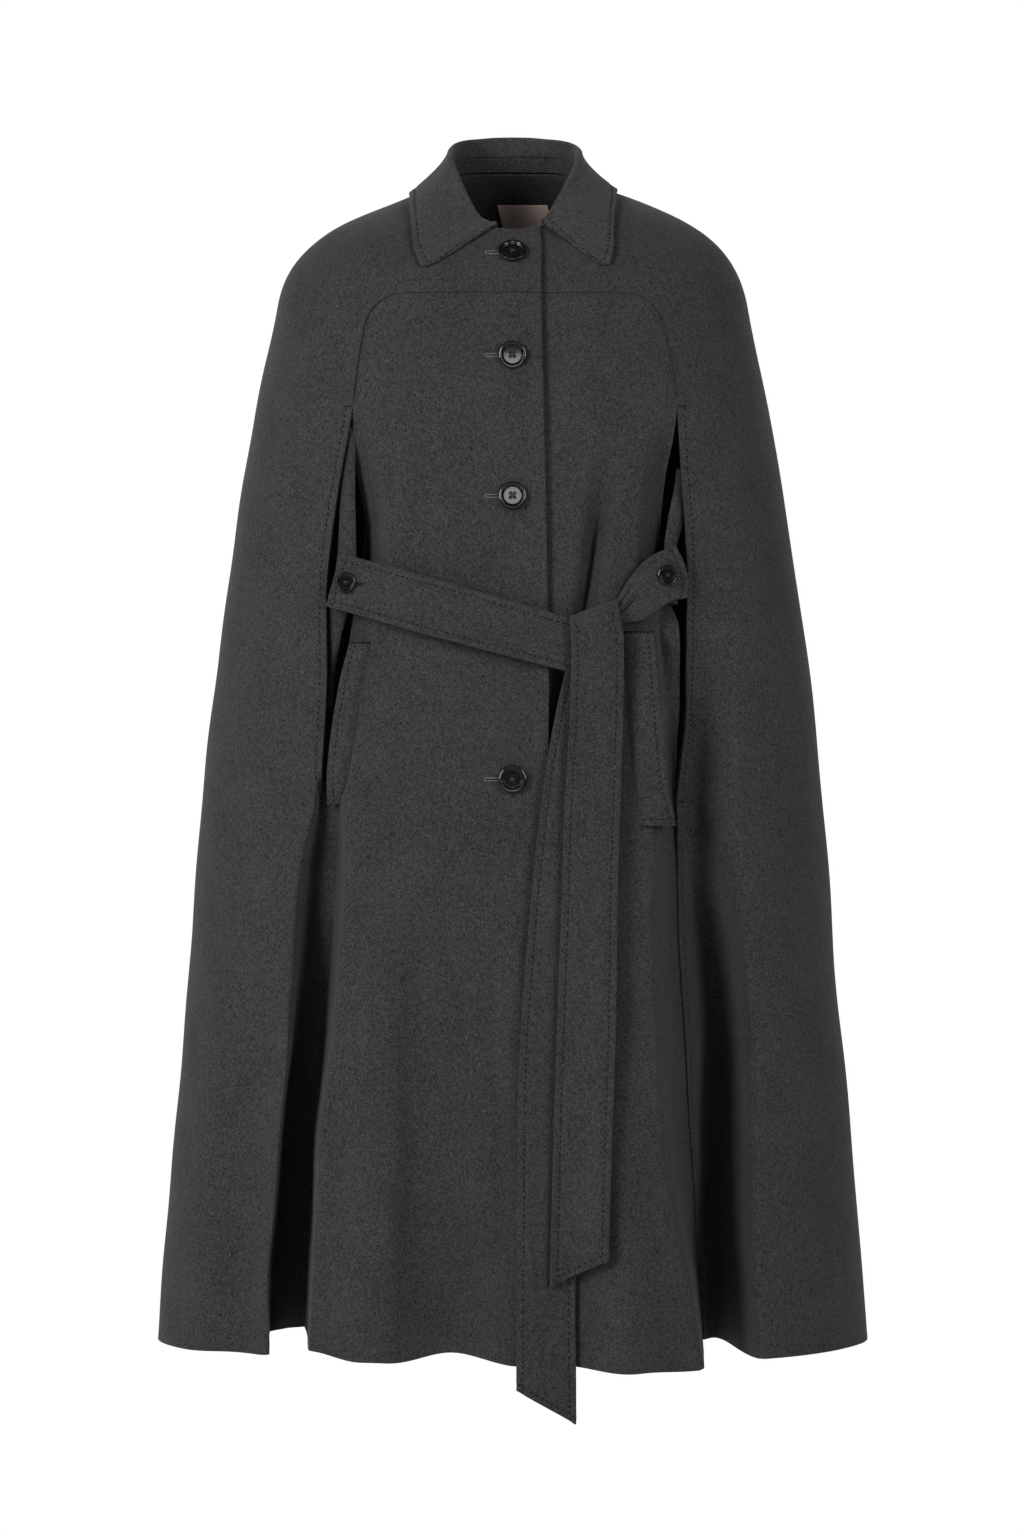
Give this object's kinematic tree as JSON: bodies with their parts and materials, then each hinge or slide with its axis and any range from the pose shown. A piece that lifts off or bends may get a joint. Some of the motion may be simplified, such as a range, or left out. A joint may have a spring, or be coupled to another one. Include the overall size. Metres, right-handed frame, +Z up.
{
  "type": "belted cape coat",
  "caption": "Hollow belted cape coat in charcoal wool, worn shape: pointed collar, yoke, buttoned front, arm slits, welt pockets and a tied belt whose ends hang down the front.",
  "frame": {"origin": "middle of the neck, level with the points where the shoulders meet the collar, where the wearer's shoulders carry the coat", "axes": "+Z up, front of the coat towards -Y, the wearer's left towards +X"},
  "size_m": [0.6712, 0.4366, 1.2017],
  "materials": {
    "charcoal_wool": "matt napped double-faced wool",
    "dark_horn": "polished",
    "label_satin": "satin, blank"
  },
  "bodies": {
    "root": {"front_right": "charcoal_wool", "front_left": "charcoal_wool", "cape_side_right": "charcoal_wool", "cape_side_left": "charcoal_wool", "back_right": "charcoal_wool", "back_left": "charcoal_wool", "collar_stand": "charcoal_wool", "collar_fall": "charcoal_wool", "slit_stay_right": "charcoal_wool", "slit_stay_left": "charcoal_wool", "pocket_welt_right": "charcoal_wool", "pocket_welt_left": "charcoal_wool", "belt_band_right": "charcoal_wool", "belt_band_left": "charcoal_wool", "belt_tail_short": "charcoal_wool", "belt_tail_long": "charcoal_wool", "front_button_1": "dark_horn", "front_button_2": "dark_horn", "front_button_3": "dark_horn", "front_button_4": "dark_horn", "front_button_5": "dark_horn", "belt_button_right": "dark_horn", "belt_button_left": "dark_horn", "neck_label": "label_satin"}
  },
  "joints": []
}
